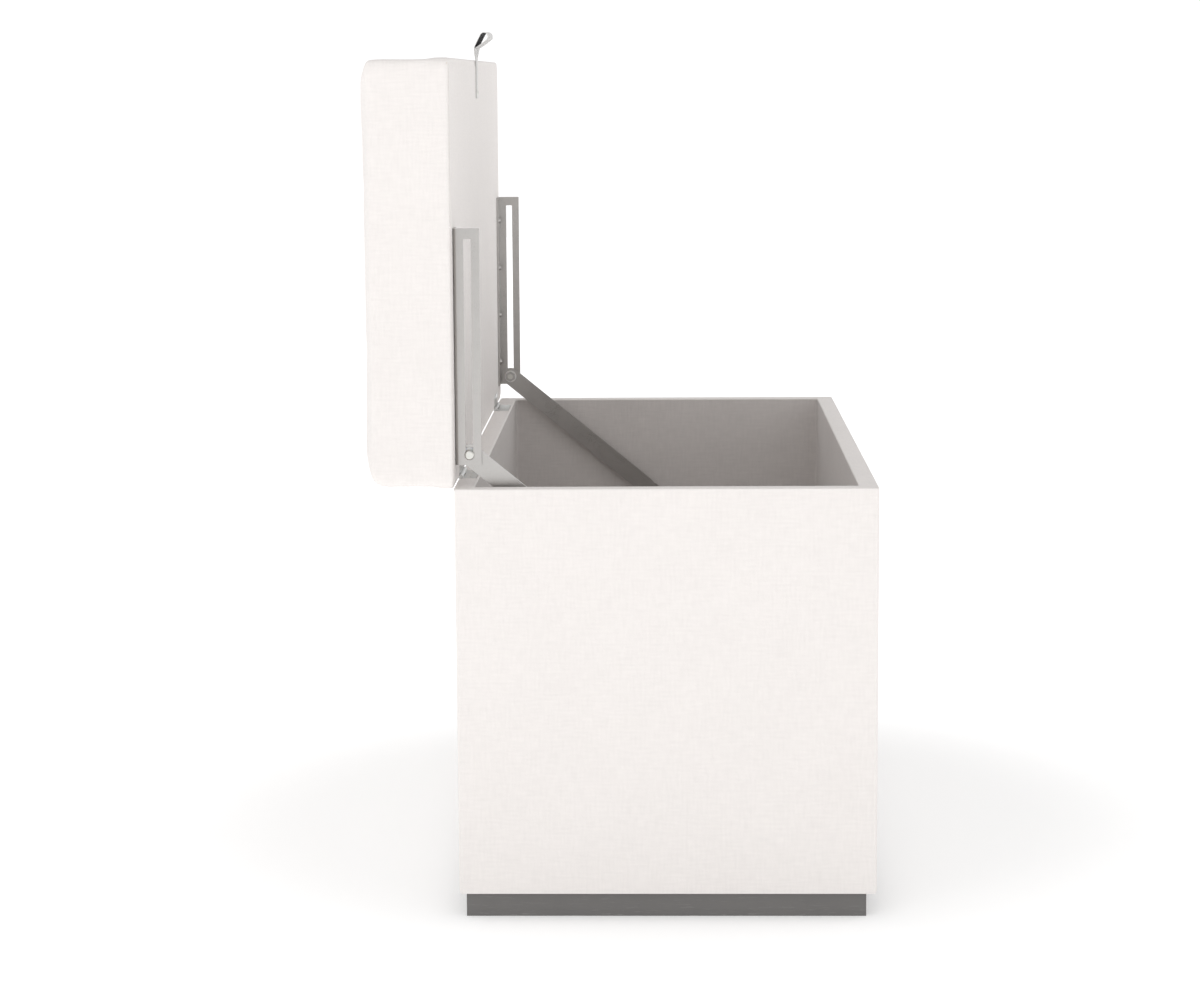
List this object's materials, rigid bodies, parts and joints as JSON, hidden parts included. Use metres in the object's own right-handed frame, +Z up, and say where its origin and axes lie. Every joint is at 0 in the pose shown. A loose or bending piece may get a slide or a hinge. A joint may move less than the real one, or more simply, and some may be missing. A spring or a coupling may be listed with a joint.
{
  "type": "storage bench",
  "caption": "Upholstered storage bench: a deep open box on a recessed plinth, with a thick padded lid that swings up on rear hinges and slotted folding stays.",
  "frame": {"origin": "on the floor, under the middle of the box", "axes": "+X along the bench, -Y to the front, +Y to the hinged rear, +Z up; the lid stands open at 90 degrees"},
  "size_m": [0.8, 0.485, 0.8475],
  "materials": {
    "cover_fabric": "matte fine plain weave, off-white",
    "lining_fabric": "matte fine plain weave",
    "base_cloth": "thin black nonwoven",
    "board": "raw particle board",
    "plinth_paint": "matte dark grey paint on board",
    "foam": "open-cell polyurethane foam",
    "tab_strap": "light grey woven strap",
    "stay_steel": "satin grey powder coat on sheet steel",
    "hinge_steel": "satin",
    "fastener_steel": "zinc plated",
    "washer_nylon": "natural nylon"
  },
  "bodies": {
    "base": {"base_cloth": "base_cloth", "box_cover": "cover_fabric", "box_lining": "lining_fabric", "box_screws": "fastener_steel", "floor_board": "board", "floor_lining": "lining_fabric", "floor_screws": "fastener_steel", "front_board": "board", "hinge_base_leaf_left": "hinge_steel", "hinge_base_leaf_right": "hinge_steel", "hinge_base_screws": "fastener_steel", "hinge_pin_left": "fastener_steel", "hinge_pin_right": "fastener_steel", "left_end_board": "board", "plinth_blocks": "board", "plinth_front": "plinth_paint", "plinth_left": "plinth_paint", "plinth_rail": "plinth_paint", "plinth_rear": "plinth_paint", "plinth_right": "plinth_paint", "plinth_screws": "fastener_steel", "rear_board": "board", "right_end_board": "board", "stay_stud_left": "fastener_steel", "stay_stud_right": "fastener_steel", "stay_wall_plate_left": "stay_steel", "stay_wall_plate_right": "stay_steel", "stay_wall_screws": "fastener_steel"},
    "lid": {"hinge_lid_leaf_left": "hinge_steel", "hinge_lid_leaf_right": "hinge_steel", "hinge_lid_screws": "fastener_steel", "lid_board": "board", "pull_tab": "tab_strap", "pull_tab_tacks": "fastener_steel", "seat_cover": "cover_fabric", "seat_foam": "foam", "stay_bracket_left": "stay_steel", "stay_bracket_right": "stay_steel", "stay_bracket_screws": "stay_steel", "stay_pivot_bolt_left": "fastener_steel", "stay_pivot_bolt_right": "fastener_steel", "stay_pivot_nut_left": "stay_steel", "stay_pivot_nut_right": "stay_steel", "stay_pivot_washers_left": "washer_nylon", "stay_pivot_washers_right": "washer_nylon", "underside_cloth": "cover_fabric"},
    "left_arm": {"stay_arm_left": "stay_steel"},
    "right_arm": {"stay_arm_right": "stay_steel"}
  },
  "joints": [
    {"name": "lid_hinge", "type": "hinge", "parent": "base", "child": "lid", "pos_m": [0, 0.199, 0.417], "axis": [1, 0, 0], "range_deg": [0, 90]},
    {"name": "left_stay_pivot", "type": "hinge", "parent": "lid", "child": "left_arm", "pos_m": [-0.3695, 0.1865, 0.4454], "axis": [1, 0, 0], "range_deg": [-95.4, 0]},
    {"name": "right_stay_pivot", "type": "hinge", "parent": "lid", "child": "right_arm", "pos_m": [0.3695, 0.1865, 0.4454], "axis": [1, 0, 0], "range_deg": [-95.4, 0]}
  ],
  "couplings": [
    {"joint": "left_stay_pivot", "follows": "lid_hinge", "ratio": -1.06},
    {"joint": "right_stay_pivot", "follows": "lid_hinge", "ratio": -1.06}
  ]
}
